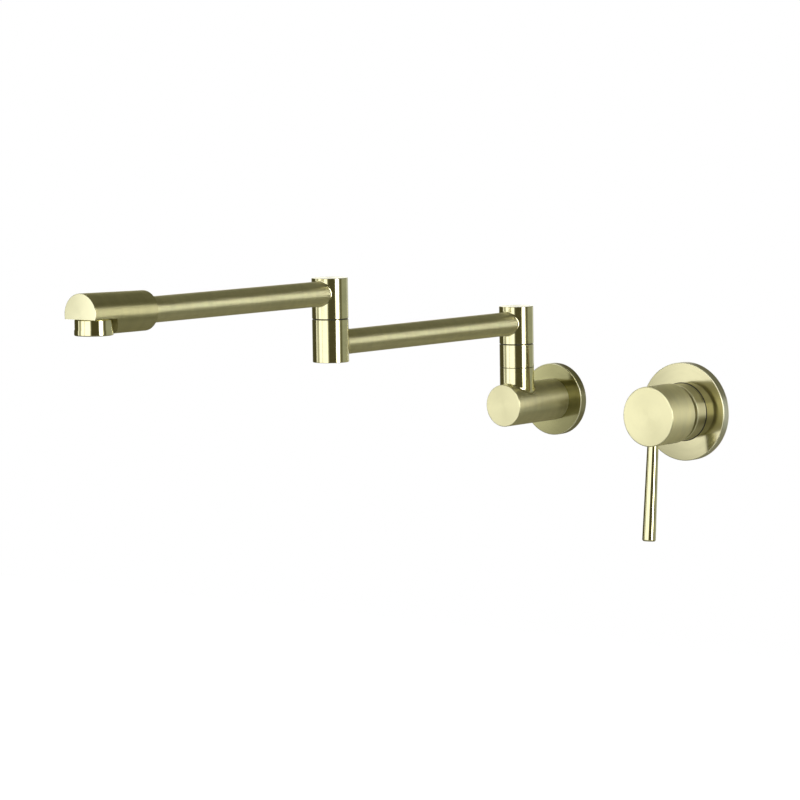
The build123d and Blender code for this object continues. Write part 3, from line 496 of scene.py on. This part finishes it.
OUT, BACK = (0, -1, 0), (0, 1, 0)
ARM_FILLET, RISER_FILLET = 0.0008, 0.0016
arm_1_root = (0, BASE[1], ARM_1[2])
arm_1_end = (0, ELBOW[1], ARM_1[2])
arm_2_root = (0, ELBOW[1], ARM_2[2])
saddle("arm_1_root_fillet", base_gold, "arm_1", ARM_R, OUT, Z, POST_R, arm_1_root, ARM_FILLET)
saddle("arm_1_end_fillet", elbow_gold, "arm_1", ARM_R, BACK, Z, POST_R, arm_1_end, ARM_FILLET)
saddle("arm_2_root_fillet", elbow_gold, "arm_2", ARM_R, OUT, Z, POST_R, arm_2_root, ARM_FILLET)
saddle("riser_fillet", base_gold, "wall_parts", POST_R, Z, Y, BODY_R, BASE, RISER_FILLET)


def ring_about_y(name, mat, body, centre, outline, steps=180):
    """Closed ring about the Y axis through the centre: outline is (radius, y) points."""
    points = []
    for i in range(steps):
        t = 2 * pi * i / steps
        for r, y in outline:
            points.append((centre[0] + r * cos(t), y, centre[2] + r * sin(t)))
    o = closed_ring(name, mat, points, len(outline))
    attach(o, body)


# A thin black ring, proud of the mixer cover round the sleeve: painted contact shadow where the
# sleeve meets the cover.
SHADOW_RING_OUTLINE = [(0.02315, -0.0070), (0.0239, -0.0073), (0.0239, -0.00755),
               (0.0237, -0.00775), (0.0234, -0.0078), (0.02315, -0.0077)]
shadow_ring_black = plain("black_painted_shadow", (0.018, 0.014, 0.006), 0.5, 1500.0, 0.1)
ring_about_y("plate_painted_shadow_ring", shadow_ring_black, "wall_parts", MIXER, SHADOW_RING_OUTLINE)

# ---------------------------------------------------------------- wall and floor
def backdrop_material(name, own_white, lit_share):
    """White to the camera from the front, with a share of its own lit colour."""
    m = bpy.data.materials.new(name)
    m.use_nodes = True
    tree = m.node_tree
    tree.nodes.clear()
    glow = add(tree, "ShaderNodeEmission", {"Color": (1, 1, 1, 1), "Strength": own_white})
    paint = add(tree, "ShaderNodeBsdfDiffuse", {"Color": rgba((lit_share,) * 3)})
    both = add(tree, "ShaderNodeAddShader", {0: glow.outputs[0], 1: paint.outputs[0]})
    clear = add(tree, "ShaderNodeBsdfTransparent")
    behind = add(tree, "ShaderNodeNewGeometry").outputs["Backfacing"]
    camera = add(tree, "ShaderNodeLightPath").outputs["Is Camera Ray"]
    shown = calc(tree, "MULTIPLY", calc(tree, "SUBTRACT", 1.0, behind), camera)
    mixed = add(tree, "ShaderNodeMixShader",
                {0: shown, 1: clear.outputs[0], 2: both.outputs[0]})
    add(tree, "ShaderNodeOutputMaterial", {0: mixed.outputs[0]})
    return m


def sheet(name, mat, corners):
    """A flat piece of the stage that the metal doesn't mirror and that casts no shadow."""
    mesh = bpy.data.meshes.new(name)
    mesh.from_pydata(corners, [], [(0, 1, 2, 3)])
    mesh.materials.append(mat)
    o = bpy.data.objects.new(name, mesh)
    bpy.context.scene.collection.objects.link(o)
    o.visible_glossy = False
    o.visible_shadow = False
    o.visible_diffuse = False


sheet("wall", backdrop_material("white_wall", 1.0, 0.0),
      [(-3, 0, FLOOR_Z), (3, 0, FLOOR_Z), (3, 0, 3), (-3, 0, 3)])
sheet("floor", backdrop_material("white_floor", 0.82, 0.25),
      [(-3, -4, FLOOR_Z), (3, -4, FLOOR_Z), (3, 3, FLOOR_Z), (-3, 3, FLOOR_Z)])

# ---------------------------------------------------------------- studio light
scene = bpy.context.scene
studio = bpy.data.worlds.new("studio")
scene.world = studio
studio.use_nodes = True
tree = studio.node_tree
tree.nodes.clear()
toward = add(tree, "ShaderNodeTexCoord").outputs["Generated"]
parts = add(tree, "ShaderNodeSeparateXYZ", {0: toward}).outputs
azimuth = calc(tree, "ARCTAN2", parts[1], parts[0])
rise = calc(tree, "ARCSINE", parts[2])


def box_light(az, half_az, low, high, soft=3.0, soft_rise=5.0):
    """Share of a soft box seen in each direction; angles in degrees, azimuth from +X."""
    away = calc(tree, "SUBTRACT", azimuth, radians(az))
    away = calc(tree, "WRAP", away, pi, -pi)
    away = calc(tree, "ABSOLUTE", away)
    inside = remap(tree, away, radians(half_az - soft), radians(half_az + soft), 1.0, 0.0)
    above = remap(tree, rise, radians(low - soft_rise), radians(low + soft_rise))
    below = remap(tree, rise, radians(high - soft_rise), radians(high + soft_rise), 1.0, 0.0)
    return calc(tree, "MULTIPLY", inside, calc(tree, "MULTIPLY", above, below))


# What the metal mirrors, each as its strength, its tint and what box_light takes. A later
# one covers those before it.
ROOM = (0.074, 0.068, 0.032)
BOXES = (
    # the side of the wall, and its lower part
    (0.13, (1.0, 0.96, 0.58), (90, 72, -89, 89, 12.0)),
    (0.20, (1.0, 0.96, 0.62), (90, 72, -89, -30, 12.0, 10.0)),
    # a high box on the left, and faint glows from the ceiling and the floor
    (0.90, (1.0, 1.0, 0.95), (-170, 28, 28, 89, 8.0, 10.0)),
    (0.25, (1.0, 1.0, 0.90), (-72, 98, 60, 91, 15.0, 12.0)),
    (0.36, (1.0, 1.0, 0.92), (-72, 98, -91, -36, 15.0, 10.0)),
    # panels by the wall
    (0.34, (1.0, 1.04, 0.86), (65, 35, -25, 11, 6.0)),
    (0.66, (1.0, 1.02, 0.98), (100, 14, -17, 7, 9.0)),
    (1.20, (1.0, 1.0, 0.97), (132, 13, -2, 14)),
    # the main box in front, with its dim surround, the seam in it and a strip beside it
    (0.50, (1.0, 1.0, 0.90), (-105, 42, -24, 36, 4.0, 9.0)),
    (1.58, (1.0, 1.0, 1.0), (-97, 29.5, -17, 30, 3.0, 9.0)),
    (1.05, (1.0, 0.98, 1.0), (-104, 3.0, -17, 30, 2.0, 9.0)),
    (1.25, (1.0, 1.0, 0.98), (-148.5, 3.5, -17, 30, 2.5, 9.0)),
    # the box on the right, with its dim side and its bright middle
    (0.50, (1.0, 1.0, 0.92), (8, 7, -12, 27, 3.0)),
    (2.4, (1.0, 0.99, 0.98), (-3, 11.5, -12, 27, 3.5)),
    (9.0, (1.0, 0.99, 0.98), (-3, 6.5, -12, 27, 3.0)),
)
color = rgba(ROOM)
for strength, tint, box in BOXES:
    share = box_light(*box)
    color = mix_color(tree, share, color, rgba(tuple(c * strength for c in tint)))
mirrored = add(tree, "ShaderNodeBackground", {"Color": color, "Strength": 1.0})
even = add(tree, "ShaderNodeBackground", {"Color": (1, 1, 1, 1), "Strength": 0.55})
white = add(tree, "ShaderNodeBackground", {"Color": (1, 1, 1, 1), "Strength": 1.0})
path = add(tree, "ShaderNodeLightPath").outputs
unseen = add(tree, "ShaderNodeMixShader",
             {0: path["Is Glossy Ray"], 1: even.outputs[0], 2: mirrored.outputs[0]})
whole = add(tree, "ShaderNodeMixShader",
            {0: path["Is Camera Ray"], 1: unseen.outputs[0], 2: white.outputs[0]})
add(tree, "ShaderNodeOutputWorld", {0: whole.outputs[0]})

LAMP_AT, LAMP_AIM = Vector((-1.2, -2.0, 2.2)), Vector((0, -0.3, 0))
key = bpy.data.lights.new("key", "AREA")
key.energy = 60
key.size = 1.6
lamp = bpy.data.objects.new("key", key)
lamp.location = LAMP_AT
lamp.rotation_euler = (LAMP_AIM - LAMP_AT).to_track_quat("-Z", "Y").to_euler()
lamp.visible_glossy = False
scene.collection.objects.link(lamp)

# ---------------------------------------------------------------- camera, from the photo
LENS = 165.97
CAMERA_AT = (1.80898, -2.47105, 0.28789)
CAMERA_RIGHT = (0.78169, 0.62350, -0.01478)
CAMERA_UP = (-0.04679, 0.08226, 0.9955)
CAMERA_BACK = (0.62191, -0.77749, 0.09348)
camera = bpy.data.objects.new("camera", bpy.data.cameras.new("camera"))
camera.data.sensor_width = 36.0
camera.data.lens = LENS
camera.data.clip_start = 0.05
camera.data.clip_end = 50.0
turn = Matrix((CAMERA_RIGHT, CAMERA_UP, CAMERA_BACK)).transposed()
camera.matrix_world = Matrix.Translation(CAMERA_AT) @ turn.to_4x4()
scene.collection.objects.link(camera)
scene.camera = camera

scene.view_settings.view_transform = "Standard"

low, high = cad_bounds
